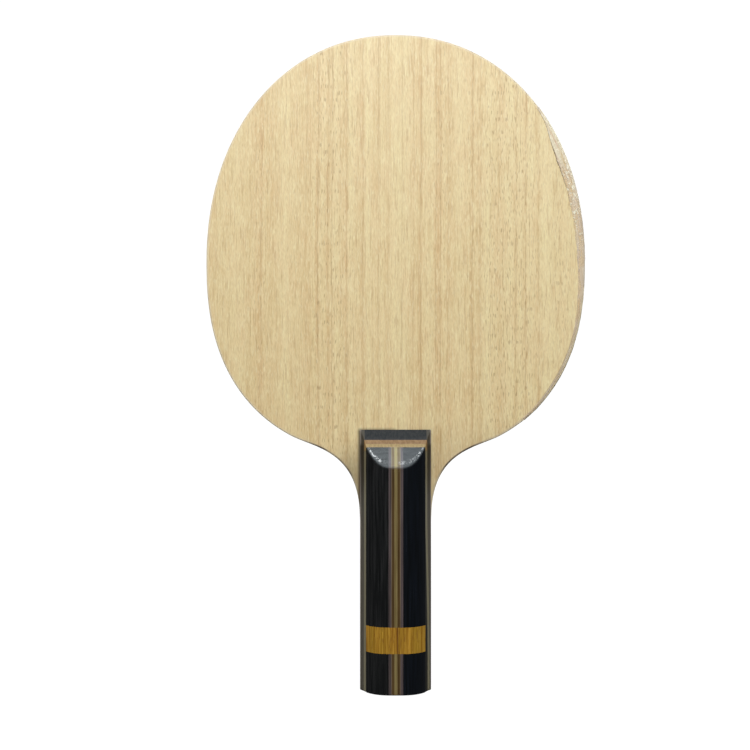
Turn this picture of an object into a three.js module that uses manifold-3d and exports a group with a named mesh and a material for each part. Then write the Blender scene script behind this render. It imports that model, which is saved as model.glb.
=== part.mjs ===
// Table tennis blade with a straight handle: seven glued plies between two laminated handle scales.
// Millimetres. +Z runs from the butt to the head's tip, the front playing face looks along -Y and
// X runs across. The origin is the middle of the butt end, so the core's mid-plane is y = 0.

import * as THREE from 'three';
import { mergeVertices } from 'three/addons/utils/BufferGeometryUtils.js';
import Module from 'manifold-3d';

const wasm = await Module();
wasm.setup();

// ---- Head: an oval made of two superellipse halves, then a concave neck into the handle ----
const HEAD_HALF_WIDTH = 75.1;
const HEAD_WIDEST_Z = 170;
const HEAD_RISE = 90; // widest line to the tip
const HEAD_DROP = 77.5; // widest line to where the lower oval would close
const UPPER_POWER = 2.11;
const LOWER_POWER = 2.4;
const UPPER_STEPS = 28;
const LOWER_STEPS = 20;
const NECK_STEPS = 12;
const NECK_START_Z = 101.5; // the lower oval ends here and the concave curve begins
const NECK_END_Z = 67.5; // the curve runs out along the handle's flank
const NECK_LEAD_OUT = 11; // handle of the neck curve at the head
const NECK_LEAD_IN = 28.5; // handle of the neck curve at the flank

// ---- Blade: plies from the core outwards, one thickness for each side's copy ----
const CORE_THICKNESS = 2.8;
const SIDE_PLIES = [
  { name: 'inner_ply', thickness: 0.7, color: 0xd9b98c, roughness: 0.7 },
  { name: 'fibre_layer', thickness: 0.25, color: 0x4a4a3a, roughness: 0.5 },
  { name: 'outer_ply', thickness: 0.55, color: 0xe3cf9e, roughness: 0.62 },
];
const BLADE_HALF = CORE_THICKNESS / 2 + SIDE_PLIES.reduce((sum, ply) => sum + ply.thickness, 0);

// ---- Handle: one scale glued on each face, its top end cut as a long flat bevel ----
const HANDLE_LENGTH = 103.3;
const HANDLE_HALF_WIDTH = 14.1;
const SCALE_HEIGHT = 8.7; // playing face to the crown
const CROWN_POWER = 3.1; // flatness of the crown
const FLANK_POWER = 1.09; // fullness of the flanks
const CROWN_STEPS = 32;
const BEVEL_RUN = 14.3; // length of the bevel along the handle

// Layers of a scale, measured outwards from the playing face.
const BASE_HEIGHT = 2.4;
const TAN_HEIGHT = 0.95;
const CREAM_HEIGHT = 0.75;

// Strips of the scale's body from its centre outwards. The last one runs out to the flank.
const CREAM_STRIP = 1.2;
const BROWN_STRIP = 0.95;
const LIGHT_LINE = 0.3;
const MAUVE_STRIP = 1;

// Gold band let in across the body.
const BAND_BOTTOM_Z = 16.3;
const BAND_TOP_Z = 26.6;

// ---- Clear film folded over the right rim of the head ----
const FILM_TOP_Z = 233;
const FILM_BOTTOM_Z = 106;
const FILM_THICKNESS = 0.2;
const FILM_GAP = 0.1; // between the film and the rim
const FILM_LAP = 4; // greatest width folded onto each face
const FILM_LAP_ENDS = 0.9; // width at its upper and lower ends
const FILM_FULL_TOP_Z = 213; // the lap has its greatest width between these two heights
const FILM_FULL_BOTTOM_Z = 210;

const BEYOND = 5; // how far a cutting solid reaches past what it cuts

const wood = (color, roughness = 0.55) => ({ color, roughness, metalness: 0 });
const BLACK = wood(0x1b1c20, 0.32);
const BASE_GREY = wood(0x35373a, 0.35);
const TAN = wood(0xa08461, 0.45);
const CREAM = wood(0xb49b70, 0.45);
const MAUVE = wood(0x4f4746, 0.4);
const LIGHT = wood(0x8a7a62, 0.4);
const BROWN = wood(0x4b3c21, 0.4);
const CREAM_CENTRE = wood(0x8c7d55, 0.4);
const GOLD = wood(0x93702c, 0.32);
const KIRI = wood(0xe2c79b, 0.75);
const FILM = { color: 0xe6e0d8, roughness: 0.2, metalness: 0, transparent: true, opacity: 0.4 };

// ---- Geometry helpers ----

function makeMesh(name, geometry, look) {
  const mesh = new THREE.Mesh(geometry, new THREE.MeshStandardMaterial(look));
  mesh.name = name;
  return mesh;
}

function toSolid(geometry) {
  const bare = geometry.clone();
  bare.deleteAttribute('normal');
  bare.deleteAttribute('uv');
  const merged = mergeVertices(bare);
  const vertProperties = new Float32Array(merged.attributes.position.array);
  const triVerts = new Uint32Array(merged.index.array);
  return new wasm.Manifold(new wasm.Mesh({ numProp: 3, vertProperties, triVerts }));
}

function toGeometry(solid) {
  const { vertProperties, triVerts } = solid.getMesh();
  const geometry = new THREE.BufferGeometry();
  geometry.setAttribute('position', new THREE.BufferAttribute(vertProperties, 3));
  geometry.setIndex(new THREE.BufferAttribute(triVerts, 1));
  return geometry;
}

// A box given by its two corners.
function block(low, high) {
  const size = high.clone().sub(low);
  const middle = low.clone().add(high).multiplyScalar(0.5);
  return new THREE.BoxGeometry(size.x, size.y, size.z).translate(middle.x, middle.y, middle.z);
}

// An outline drawn in X and Z becomes a plate whose faces are at y = top - thickness and y = top.
function plate(points, top, thickness) {
  const geometry = new THREE.ExtrudeGeometry(new THREE.Shape(points), {
    depth: thickness,
    bevelEnabled: false,
  });
  return geometry.rotateX(Math.PI / 2).translate(0, top, 0);
}

// ---- Outline of the blade ----

// One quarter of a superellipse, from the widest line (angle 0) towards the tip (a right angle).
function ovalPoint(angle, height, power) {
  const x = HEAD_HALF_WIDTH * Math.cos(angle) ** (2 / power);
  const z = height * Math.sin(angle) ** (2 / power);
  return new THREE.Vector2(x, z);
}

// Right half of the lower oval, from the neck up to the widest line.
function lowerOval() {
  const drop = (HEAD_WIDEST_Z - NECK_START_Z) / HEAD_DROP;
  const lastAngle = Math.asin(drop ** (LOWER_POWER / 2));
  const points = [];
  for (let i = LOWER_STEPS; i >= 0; i--) {
    const point = ovalPoint((lastAngle * i) / LOWER_STEPS, HEAD_DROP, LOWER_POWER);
    points.push(new THREE.Vector2(point.x, HEAD_WIDEST_Z - point.y));
  }
  return points;
}

// Right half of the upper oval, from just above the widest line to the tip.
function upperOval() {
  const points = [];
  for (let i = 1; i < UPPER_STEPS; i++) {
    const point = ovalPoint((Math.PI / 2) * (i / UPPER_STEPS), HEAD_RISE, UPPER_POWER);
    points.push(new THREE.Vector2(point.x, HEAD_WIDEST_Z + point.y));
  }
  points.push(new THREE.Vector2(0, HEAD_WIDEST_Z + HEAD_RISE));
  return points;
}

// Concave curve from the handle's flank up to the first point of the lower oval.
function neck(oval) {
  const tangent = oval[0].clone().sub(oval[1]).normalize();
  const curve = new THREE.CubicBezierCurve(
    new THREE.Vector2(HANDLE_HALF_WIDTH, NECK_END_Z),
    new THREE.Vector2(HANDLE_HALF_WIDTH, NECK_END_Z + NECK_LEAD_IN),
    oval[0].clone().addScaledVector(tangent, NECK_LEAD_OUT),
    oval[0],
  );
  return curve.getPoints(NECK_STEPS).slice(0, -1);
}

const mirrored = (points) => points.map((p) => new THREE.Vector2(-p.x, p.y)).reverse();

const oval = [...lowerOval(), ...upperOval()];
const rightSide = [new THREE.Vector2(HANDLE_HALF_WIDTH, 0), ...neck(oval), ...oval];
const bladeOutline = [...rightSide, ...mirrored(rightSide.slice(0, -1))];

// ---- Blade ----

function addBlade(group) {
  group.add(makeMesh('core_ply', plate(bladeOutline, CORE_THICKNESS / 2, CORE_THICKNESS), KIRI));
  let inside = CORE_THICKNESS / 2;
  for (const { name, thickness, color, roughness } of SIDE_PLIES) {
    const look = wood(color, roughness);
    const outside = inside + thickness;
    group.add(makeMesh(`front_${name}`, plate(bladeOutline, -inside, thickness), look));
    group.add(makeMesh(`back_${name}`, plate(bladeOutline, outside, thickness), look));
    inside = outside;
  }
}

// ---- Handle scale, built on the front face ----

// Half-section of a scale: its height over the playing face at a distance from the middle.
function crownHeight(x) {
  const across = Math.abs(x / HANDLE_HALF_WIDTH) ** CROWN_POWER;
  return SCALE_HEIGHT * Math.max(0, 1 - across) ** (1 / FLANK_POWER);
}

// The section as an outline in X and Y, with its flat side on the playing face.
function scaleSection() {
  const points = [];
  for (let i = 0; i <= CROWN_STEPS; i++) {
    const angle = (Math.PI * i) / CROWN_STEPS;
    const x = -HANDLE_HALF_WIDTH * Math.cos(angle);
    points.push(new THREE.Vector2(x, -BLADE_HALF - crownHeight(x)));
  }
  return points;
}

function wholeScale() {
  const bar = new THREE.ExtrudeGeometry(new THREE.Shape(scaleSection()), {
    depth: HANDLE_LENGTH,
    bevelEnabled: false,
  });
  const slope = BEVEL_RUN / SCALE_HEIGHT;
  const face = -BLADE_HALF + BEYOND;
  const crown = -BLADE_HALF - SCALE_HEIGHT - BEYOND;
  const sideView = new THREE.Shape([
    new THREE.Vector2(face, -BEYOND),
    new THREE.Vector2(face, HANDLE_LENGTH + BEYOND * slope),
    new THREE.Vector2(crown, HANDLE_LENGTH - (SCALE_HEIGHT + BEYOND) * slope),
    new THREE.Vector2(crown, -BEYOND),
  ]);
  const width = 2 * (HANDLE_HALF_WIDTH + BEYOND);
  const prism = new THREE.ExtrudeGeometry(sideView, { depth: width, bevelEnabled: false });
  const across = new THREE.Matrix4().makeBasis(
    new THREE.Vector3(0, 1, 0),
    new THREE.Vector3(0, 0, 1),
    new THREE.Vector3(1, 0, 0),
  );
  prism.applyMatrix4(across).translate(-width / 2, 0, 0);
  return toSolid(bar).intersect(toSolid(prism));
}

// What a scale keeps between two heights over the face, two widths and two stations along it.
function scalePart(scale, [lowX, highX], [lowH, highH], [lowZ, highZ]) {
  const low = new THREE.Vector3(lowX, -BLADE_HALF - highH, lowZ);
  const high = new THREE.Vector3(highX, -BLADE_HALF - lowH, highZ);
  return toGeometry(scale.intersect(toSolid(block(low, high))));
}

// Strips of the body: the cream one in the middle, then a left and a right one of each kind.
function bodyStrips() {
  const widths = [
    ['brown_strip', BROWN_STRIP, BROWN],
    ['light_line', LIGHT_LINE, LIGHT],
    ['mauve_strip', MAUVE_STRIP, MAUVE],
    ['black_block', HANDLE_HALF_WIDTH + BEYOND, BLACK],
  ];
  let inner = CREAM_STRIP / 2;
  const strips = [{ name: 'cream_strip', span: [-inner, inner], look: CREAM_CENTRE }];
  for (const [name, width, look] of widths) {
    const outer = inner + width;
    strips.push({ name: `left_${name}`, span: [-outer, -inner], look });
    strips.push({ name: `right_${name}`, span: [inner, outer], look });
    inner = outer;
  }
  return strips;
}

// Left and right are as seen by someone who faces the scale.
function handleScale(side) {
  const group = new THREE.Group();
  const scale = wholeScale();
  const wide = [-HANDLE_HALF_WIDTH - BEYOND, HANDLE_HALF_WIDTH + BEYOND];
  const full = [-BEYOND, HANDLE_LENGTH + BEYOND];
  const layers = [
    ['base_layer', BASE_HEIGHT, BASE_GREY],
    ['tan_veneer', TAN_HEIGHT, TAN],
    ['cream_veneer', CREAM_HEIGHT, CREAM],
  ];
  let height = 0;
  for (const [name, thickness, look] of layers) {
    const part = scalePart(scale, wide, [height, height + thickness], full);
    group.add(makeMesh(`${side}_${name}`, part, look));
    height += thickness;
  }
  const body = [height, SCALE_HEIGHT + BEYOND];
  const band = scalePart(scale, wide, body, [BAND_BOTTOM_Z, BAND_TOP_Z]);
  group.add(makeMesh(`${side}_gold_band`, band, GOLD));
  for (const { name, span, look } of bodyStrips()) {
    const upper = scalePart(scale, span, body, [BAND_TOP_Z, full[1]]);
    const lower = scalePart(scale, span, body, [full[0], BAND_BOTTOM_Z]);
    group.add(makeMesh(`${side}_${name}_upper`, upper, look));
    group.add(makeMesh(`${side}_${name}_lower`, lower, look));
  }
  return group;
}

// ---- Clear film on the right rim ----

// The outline's points moved along their outward normals by a distance that may change with height.
function offsetOutline(points, distanceAt) {
  return points.map((point, i) => {
    const before = points[Math.max(i - 1, 0)];
    const after = points[Math.min(i + 1, points.length - 1)];
    const along = after.clone().sub(before).normalize();
    const outward = new THREE.Vector2(along.y, -along.x);
    return point.clone().addScaledVector(outward, distanceAt(point.y));
  });
}

function lapAt(z) {
  const fromBottom = THREE.MathUtils.smoothstep(z, FILM_BOTTOM_Z, FILM_FULL_BOTTOM_Z);
  const fromTop = 1 - THREE.MathUtils.smoothstep(z, FILM_FULL_TOP_Z, FILM_TOP_Z);
  return THREE.MathUtils.lerp(FILM_LAP_ENDS, FILM_LAP, Math.min(fromBottom, fromTop));
}

function rimFilm() {
  const onFilm = (point) => point.y > FILM_BOTTOM_Z && point.y < FILM_TOP_Z;
  const rim = offsetOutline(oval, () => FILM_GAP);
  const outer = offsetOutline(oval, () => FILM_GAP + FILM_THICKNESS);
  const inner = offsetOutline(oval, (z) => -lapAt(z));
  const covered = (points) => points.filter((_, i) => onFilm(oval[i]));
  const band = [...covered(outer), ...covered(inner).reverse()];
  const height = BLADE_HALF + FILM_THICKNESS;
  const folded = toSolid(plate(band, height, 2 * height));
  const blade = [...rim, new THREE.Vector2(0, NECK_START_Z)];
  const inside = toSolid(plate(blade, BLADE_HALF, 2 * BLADE_HALF));
  return toGeometry(folded.subtract(inside));
}

// ---- Assembly ----

const paddle = new THREE.Group();
addBlade(paddle);
paddle.add(handleScale('front'));
const backScale = handleScale('back');
backScale.rotation.z = Math.PI;
paddle.add(backScale);
paddle.add(makeMesh('rim_film', rimFilm(), FILM));

export default paddle;
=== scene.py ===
"""Table tennis blade with a straight handle, standing on its butt end in a pale studio.

Lengths are metres. +Z runs from the butt to the head's tip and the front face looks along -Y.
Every size and place is read from the CAD frame; the constants below only add fine shape and looks.
"""
import math
from types import SimpleNamespace

import bmesh
import bpy
import numpy as np
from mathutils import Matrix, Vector, noise


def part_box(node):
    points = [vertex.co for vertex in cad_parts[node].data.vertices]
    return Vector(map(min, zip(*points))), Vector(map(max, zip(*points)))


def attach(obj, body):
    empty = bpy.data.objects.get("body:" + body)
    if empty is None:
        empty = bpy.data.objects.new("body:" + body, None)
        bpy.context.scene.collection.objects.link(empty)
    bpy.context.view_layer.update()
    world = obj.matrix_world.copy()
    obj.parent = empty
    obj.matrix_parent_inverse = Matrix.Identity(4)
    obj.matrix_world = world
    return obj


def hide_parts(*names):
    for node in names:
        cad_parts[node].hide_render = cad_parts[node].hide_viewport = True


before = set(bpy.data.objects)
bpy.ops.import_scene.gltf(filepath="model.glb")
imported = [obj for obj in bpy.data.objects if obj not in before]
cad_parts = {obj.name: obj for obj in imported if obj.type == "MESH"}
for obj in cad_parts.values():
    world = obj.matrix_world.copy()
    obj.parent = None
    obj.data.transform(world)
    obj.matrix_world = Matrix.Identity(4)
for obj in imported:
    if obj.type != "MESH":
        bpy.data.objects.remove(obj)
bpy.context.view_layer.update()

MM = 0.001

# ---- Fine shape ----
RIM_ROUNDING = 0.5 * MM  # sanded edge of each playing face
RIM_ROUNDING_WORN = 1.3 * MM  # the same edge low on the right, where the film is folded over
RIM_ROUNDING_STARTS = (0.066, 0.085)  # heights between which the rounding grows from nothing
RIM_WORN_STARTS = (0.1, 0.122)  # and those where the wider one comes in, and where it goes out
RIM_WORN_ENDS = (0.145, 0.175)
RIM_TONE_FADE = 0.5 * MM  # the rim's paler wood, painted highlight and painted shade fade out over this width inside the rounded edge
GLUE_GROOVE = 0.03 * MM  # each ply's own edges are eased by this much
BUTT_ROUNDING = 0.6 * MM
BEVEL_BLEND = 0.4 * MM  # softness of the edge between the handle's crown and its top bevel
GLINT_BAND = 1.9 * MM  # painted glints (highlights) on the bevel's side of that edge lie within this height
BEVEL_LIT_TONE = (-0.2 * MM, 0.5 * MM)  # the bevel's painted lighter tone, where it faces the light, comes in here, measured the same way
SOFT_EDGE = (0.4 * BEVEL_BLEND, 1.6 * BEVEL_BLEND)  # duller varnish fades out this far from it
FLANK_HOLLOW = 0.42 * MM  # how far the three lower layers' sides are sanded in
CROWN_POWER = 3.1  # the handle section's two exponents, as in the CAD source
FLANK_POWER = 1.09
FILM_THICKNESS = 0.05 * MM
FILM_CRINKLE = 0.16 * MM
FILM_LIFT = 0.02 * MM  # the least that the film stands off the wood
FILM_WAVER = 0.1  # share of the lap by which its border wavers
FILM_LAP = 4 * MM  # as in the CAD source, like the next three
FILM_LAP_ENDS = 0.9 * MM
FILM_FULL_LOW = 0.21
FILM_FULL_HIGH = 0.213
FILM_STATIONS = 420  # sections along the film
FILM_LAP_POINTS = 15  # points across each of its laps
FACE_COLUMNS = 40  # columns of quads across each playing face

# ---- Camera and studio ----
CAMERA_DISTANCE = 0.463  # lens to the front playing face
CAMERA_SIDE = -0.00815
CAMERA_HEIGHT = 0.125
LENS = 56
FLOOR_REACH = 1.68  # from the middle to each side
BACKDROP_RADIUS = 1.6
BACKDROP_HEIGHT = 1.6
BACKDROP_GLOW = 1.0
BACK_SCREEN = math.radians(62)  # how far the mirrored part of the surround reaches from +Y
FLOOR_GLOW = 0.97
KEY_PLACE = (0, -0.725, 0.785)  # its upper half is what the handle's top bevel mirrors to the lens
KEY_SIDE = 0.6
KEY_RADIANCE = 6.0
FRONT_PLACE = (0, -0.9, 0.62)
FRONT_SIDE = 0.61
FRONT_RADIANCE = 2.5
REAR_PLACE = (0.9, 0.55, 0.55)  # the right one; the left one mirrors it
REAR_SIDE = 0.5
REAR_RADIANCE = 5.0
LIGHT_TARGET = (0, 0, 0.17)
WORLD = (0.1, 0.1, 0.1, 1)


# ---------------------------------------------------------------------------------------------
# Sizes read from the frame
# ---------------------------------------------------------------------------------------------


def read_sizes():
    base_low, base_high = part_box("front_base_layer")
    band_low, band_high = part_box("front_gold_band")
    tan_low, tan_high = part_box("front_tan_veneer")
    cream_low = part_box("front_cream_veneer")[0]
    face = -base_high.y
    base_top = -base_low.y - face
    return SimpleNamespace(
        face=face,
        half_width=base_high.x,
        length=base_high.z,
        base_top=base_top,
        tan_top=-tan_low.y - face,
        cream_top=-cream_low.y - face,
        crown=-band_low.y - face,
        slope=(base_high.z - tan_high.z) / base_top,
        band_bottom=band_low.z,
        band_top=band_high.z,
    )


size = read_sizes()


# ---------------------------------------------------------------------------------------------
# Mesh helpers
# ---------------------------------------------------------------------------------------------


def make_piece(name, verts, faces, node, slot, material, sharp=math.radians(32), **marks):
    """A closed piece that stands for one CAD node and rides on the root body.

    Each mark is a list with one number per vertex, which the materials read by its name.
    """
    mesh = bpy.data.meshes.new(name)
    mesh.from_pydata([tuple(v) for v in verts], [], [tuple(f) for f in faces])
    for mark, values in marks.items():
        mesh.attributes.new(mark, "FLOAT", "POINT").data.foreach_set("value", values)
    bm = bmesh.new()
    bm.from_mesh(mesh)
    bmesh.ops.remove_doubles(bm, verts=bm.verts, dist=1e-7)
    bmesh.ops.dissolve_degenerate(bm, edges=bm.edges, dist=1e-7)
    bmesh.ops.recalc_face_normals(bm, faces=bm.faces)
    bm.to_mesh(mesh)
    bm.free()
    mesh.shade_smooth()
    mesh.set_sharp_from_angle(angle=sharp)
    mesh.materials.append(material)
    piece = bpy.data.objects.new(name, mesh)
    bpy.context.scene.collection.objects.link(piece)
    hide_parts(node)
    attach(piece, "root")
    return piece


def smoothstep(value, low, high):
    t = np.clip((value - low) / (high - low), 0, 1)
    return t * t * (3 - 2 * t)


# ---------------------------------------------------------------------------------------------
# Blade
# ---------------------------------------------------------------------------------------------


def catmull_rom(points, steps):
    """A smooth curve through the points, with steps spans between neighbours."""
    first = 2 * points[0] - points[1]
    last = points[-2] * [-1, 1]
    padded = np.vstack([first, points, last])
    t = np.linspace(0, 1, steps, endpoint=False)[:, None]
    spans = []
    for a, b, c, d in zip(padded, padded[1:], padded[2:], padded[3:]):
        near = b + 0.5 * t * (c - a)
        bend = 0.5 * t**2 * (2 * a - 5 * b + 4 * c - d)
        twist = 0.5 * t**3 * (3 * b - a - 3 * c + d)
        spans.append(near + bend + twist)
    return np.vstack([*spans, points[-1:]])


def right_outline():
    """The blade's right side as X and Z from butt to tip, smooth through the CAD's corners."""
    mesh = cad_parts["core_ply"].data
    corners = {(round(v.co.x, 7), round(v.co.z, 7)) for v in mesh.vertices if v.co.x > -1e-6}
    corners = np.array(sorted(corners, key=lambda p: p[1]))
    corner_x, neck_z = corners[0][0], corners[1][1]
    angle = np.linspace(0, math.pi / 2, 7)
    butt = np.column_stack([
        corner_x - BUTT_ROUNDING * (1 - np.sin(angle)),
        BUTT_ROUNDING * (1 - np.cos(angle)),
    ])
    flank_z = np.linspace(BUTT_ROUNDING, neck_z, 25)[1:-1]
    flank = np.column_stack([np.full_like(flank_z, corner_x), flank_z])
    return np.vstack([butt, flank, catmull_rom(corners[1:], 6)])


def outward_normals(outline):
    """Unit normals of the right outline, level at the flank and upright at the tip."""
    beyond = outline[-2] * [-1, 1]
    before = np.vstack([outline[:1], outline[:-1]])
    after = np.vstack([outline[1:], beyond])
    along = after - before
    along /= np.linalg.norm(along, axis=1)[:, None]
    return np.column_stack([along[:, 1], -along[:, 0]])


outline = right_outline()
normals = outward_normals(outline)


def rim_rounding(side):
    """Edge rounding at each outline point: none under the handle scales, wider low on the right."""
    z = outline[:, 1]
    grows = smoothstep(z, *RIM_ROUNDING_STARTS)
    edge_weight = smoothstep(z, *RIM_WORN_STARTS) * (1 - smoothstep(z, *RIM_WORN_ENDS)) * (side > 0)
    return grows * (RIM_ROUNDING + (RIM_ROUNDING_WORN - RIM_ROUNDING) * edge_weight)


def ply_planes(node):
    """Where a ply starts and ends on its side of the blade's middle, and that side's sign in Y."""
    low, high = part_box(node)
    if node.startswith("core"):
        return low.y, high.y, 1
    inner, outer = sorted((abs(low.y), abs(high.y)))
    return inner, outer, 1 if high.y > 0 else -1


def rim_rows(inner, outer, side, is_face):
    """(height, inset) of one side's rim at each outline point, from the inner plane to the outer."""
    levels = [(inner, GLUE_GROOVE), (inner + GLUE_GROOVE, 0.0)]
    if not is_face:
        levels += [(outer - GLUE_GROOVE, 0.0), (outer, GLUE_GROOVE)]
    rows = [(np.full(len(outline), y), np.full(len(outline), inset)) for y, inset in levels]
    if is_face:
        radius = rim_rounding(side)
        depth = np.minimum(radius, outer - inner - 2 * GLUE_GROOVE)
        for turn in np.linspace(0, math.pi / 2, 6):
            rows.append((outer - depth * (1 - math.sin(turn)), radius * (1 - math.cos(turn))))
        rows.append((np.full(len(outline), outer), radius + RIM_TONE_FADE))
    return rows


def close_face(verts, faces, rights, lefts, columns):
    """Rows of quads between a ring's right and left points, with new points between them."""
    grid = []
    for right, left in zip(rights, lefts):
        row = [right]
        for c in range(1, columns):
            row.append(len(verts))
            verts.append(tuple(Vector(verts[right]).lerp(Vector(verts[left]), c / columns)))
        grid.append(row + [left])
    for below, above in zip(grid, grid[1:]):
        for c in range(columns):
            faces.append((below[c], below[c + 1], above[c + 1], above[c]))
    if columns > 1:
        # the butt's wall has one long edge here, which this flat face joins to the short ones
        faces.append(tuple(grid[0]))


def ply_piece(node, slot, material, is_face):
    """One ply: a loft of rings round the rim, closed by rows of quads on both faces.

    Its mark, 1 round the rim of a face ply and 0 where its playing face is flat, places the rim's
    pale tone, painted highlight and painted shade.
    """
    inner, outer, sign = ply_planes(node)
    rings = []
    for side in (1, -1):
        rings.append([
            [((x - n[0] * i) * side, sign * y, z - n[1] * i)
             for (x, z), n, y, i in zip(outline, normals, height, inset)]
            for height, inset in rim_rows(inner, outer, side, is_face)
        ])
    verts, faces = [], []
    count = len(outline)
    levels = len(rings[0])
    for right, left in zip(*rings):
        verts += right + left

    def at(side, level, k):
        return (2 * level + side) * count + k

    for level in range(levels - 1):
        for k in range(count - 1):
            for side in (0, 1):
                faces.append((at(side, level, k), at(side, level, k + 1),
                              at(side, level + 1, k + 1), at(side, level + 1, k)))
        faces.append((at(0, level, 0), at(1, level, 0), at(1, level + 1, 0), at(0, level + 1, 0)))
    for level, columns in ((0, 1), (levels - 1, FACE_COLUMNS if is_face else 1)):
        rights, lefts = ([at(side, level, k) for k in range(count)] for side in (0, 1))
        close_face(verts, faces, rights, lefts, columns)
    wear = np.zeros(len(verts))
    if is_face:
        wear[:at(0, levels - 1, 0)] = 1
    return make_piece(f"{node}_fine", verts, faces, node, slot, material, wear=wear)


# ---------------------------------------------------------------------------------------------
# Handle scales: one outer surface, H(x, z), shared by every piece of a scale
# ---------------------------------------------------------------------------------------------


def butt_inset(z):
    """How far the surface draws in near the butt, where its edge is rounded."""
    below = np.clip(BUTT_ROUNDING - z, 0, BUTT_ROUNDING)
    return BUTT_ROUNDING - np.sqrt(np.maximum(BUTT_ROUNDING**2 - below**2, 0))


def crown_half_width(height, z):
    half, top = size.half_width - butt_inset(z), size.crown - butt_inset(z)
    left = 1 - np.clip(height / top, 0, 1) ** FLANK_POWER
    up = np.clip(height / size.cream_top, 0, 1)
    return half * left ** (1 / CROWN_POWER) - FLANK_HOLLOW * 4 * up * (1 - up)


def crown_height(x, z):
    """The inverse of crown_half_width at one z."""
    half, top = size.half_width - butt_inset(z), size.crown - butt_inset(z)
    across = np.clip(np.abs(x) / half, 0, 1) ** CROWN_POWER
    body = top * (1 - across) ** (1 / FLANK_POWER)
    low = np.linspace(size.cream_top, 0, 60)
    layers = np.interp(np.abs(x), crown_half_width(low, z), low)
    return np.where(body > size.cream_top, body, layers)


def bevel_height(z):
    return (size.length - z) / size.slope


def surface_height(x, z):
    """The crown and the bevel, joined by a small soft edge."""
    crown, bevel = crown_height(x, z), bevel_height(z)
    near = np.maximum(BEVEL_BLEND - np.abs(crown - bevel), 0)
    return np.minimum(crown, bevel) - near**2 / (4 * BEVEL_BLEND)


def partner_height(other, height):
    """How high the crown is where the surface has this height and the bevel is at other.

    It works the other way round too, for the bevel's height under a crown at other.
    """
    spare = np.clip(other - height, 0, BEVEL_BLEND)
    eased = other - 2 * np.sqrt(BEVEL_BLEND * spare) + BEVEL_BLEND
    return np.where(other - height >= BEVEL_BLEND, height, eased)


def butt_rows():
    """Heights up the rounded edge at the butt, closest together at the bottom."""
    return BUTT_ROUNDING * np.array([0, 0.04, 0.15, 0.32, 0.55, 0.78, 1.0])


def contour(height):
    """X and Z where the surface has this height: up the right flank, over and down the left."""
    corner = height + BEVEL_BLEND / 4
    corner_z = size.length - size.slope * corner
    fine = corner_z - 5 * MM * np.linspace(1, 0, 16)
    z = np.concatenate([butt_rows(), np.linspace(2 * MM, fine[0], 30)[:-1], fine])
    x = crown_half_width(partner_height(bevel_height(z), height), z)
    right = np.column_stack([x, z])
    across = x[-1] * np.sin(np.linspace(math.pi / 2, -math.pi / 2, 41))[1:-1]
    top_z = size.length - size.slope * partner_height(crown_height(across, corner_z), height)
    top = np.column_stack([across, top_z])
    return np.vstack([right, top, (right * [-1, 1])[::-1]])


def placed(side, x, height, z):
    """A point of a scale in the frame. The back scale is the front one turned about Z."""
    y = -size.face - height
    return (x, y, z) if side == "front" else (-x, -y, z)


def layer_piece(side, name, bottom, top, slot, material, levels=7):
    """A sheet of the scale: walls that follow the outer surface between two flat faces."""
    verts, faces = [], []
    loops = [contour(h) for h in np.linspace(bottom, top, levels)]
    count = len(loops[0])
    for height, loop in zip(np.linspace(bottom, top, levels), loops):
        verts += [placed(side, x, height, z) for x, z in loop]
    for level in range(levels - 1):
        a, b = level * count, (level + 1) * count
        for k in range(count):
            n = (k + 1) % count
            faces.append((a + k, a + n, b + n, b + k))
    faces.append(range(count))
    faces.append(range((levels - 1) * count, levels * count))
    node = f"{side}_{name}"
    return make_piece(f"{node}_fine", verts, faces, node, slot, material)


def grid_border(grid):
    """The numbers on the border of a grid of vertex numbers, in order round it."""
    last_row, last_column = len(grid) - 1, len(grid[0]) - 1
    border = [grid[0][c] for c in range(last_column)]
    border += [grid[r][last_column] for r in range(last_row)]
    border += [grid[last_row][c] for c in range(last_column, 0, -1)]
    return border + [grid[r][0] for r in range(last_row, 0, -1)]


def body_piece(side, name, edges, rows, slot, material, columns):
    """A block of the body under the outer surface. edges(z) gives its two sides at each row.

    Each of its marks is 1 at most: one where painted glints (highlights) go along the bevel's lower
    edge, one where the bevel takes its painted lighter tone, and edge along the soft edge itself.
    """
    bottom = size.cream_top
    verts, tops, lows, wear, cut, edge = [], [], [], [], [], []
    for z in rows:
        left, right = edges(z)
        x = left + (right - left) * columns
        height = np.maximum(surface_height(x, z), bottom)
        past_edge = crown_height(x, z) - bevel_height(z)
        # where painted glints go on the bevel's side of the edge
        wear += list(np.clip(1 - np.abs(2 * past_edge / GLINT_BAND - 1), 0, 1))
        # where the bevel's painted lighter tone comes in
        cut += list(smoothstep(past_edge, *BEVEL_LIT_TONE))
        edge += list(1 - smoothstep(np.abs(past_edge), *SOFT_EDGE))
        tops.append(list(range(len(verts), len(verts) + len(x))))
        verts += [placed(side, *p) for p in zip(x, height, np.full(len(x), z))]
    loop = grid_border(tops)
    floor_y = placed(side, 0, bottom, 0)[1]
    for top in loop:
        lows.append(len(verts))
        verts.append((verts[top][0], floor_y, verts[top][2]))
    for mark in (wear, cut, edge):
        mark += [0.0] * len(lows)
    faces = [tuple(lows)]
    for below, above in zip(tops, tops[1:]):
        for c in range(len(columns) - 1):
            faces.append((below[c], below[c + 1], above[c + 1], above[c]))
    for k, top in enumerate(loop):
        n = (k + 1) % len(loop)
        faces.append((top, loop[n], lows[n], lows[k]))
    node = f"{side}_{name}"
    return make_piece(f"{node}_fine", verts, faces, node, slot, material,
                      wear=wear, cut=cut, edge=edge)


def lower_rows():
    return np.concatenate([butt_rows(), np.linspace(1.5 * MM, size.band_bottom, 9)])


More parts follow.
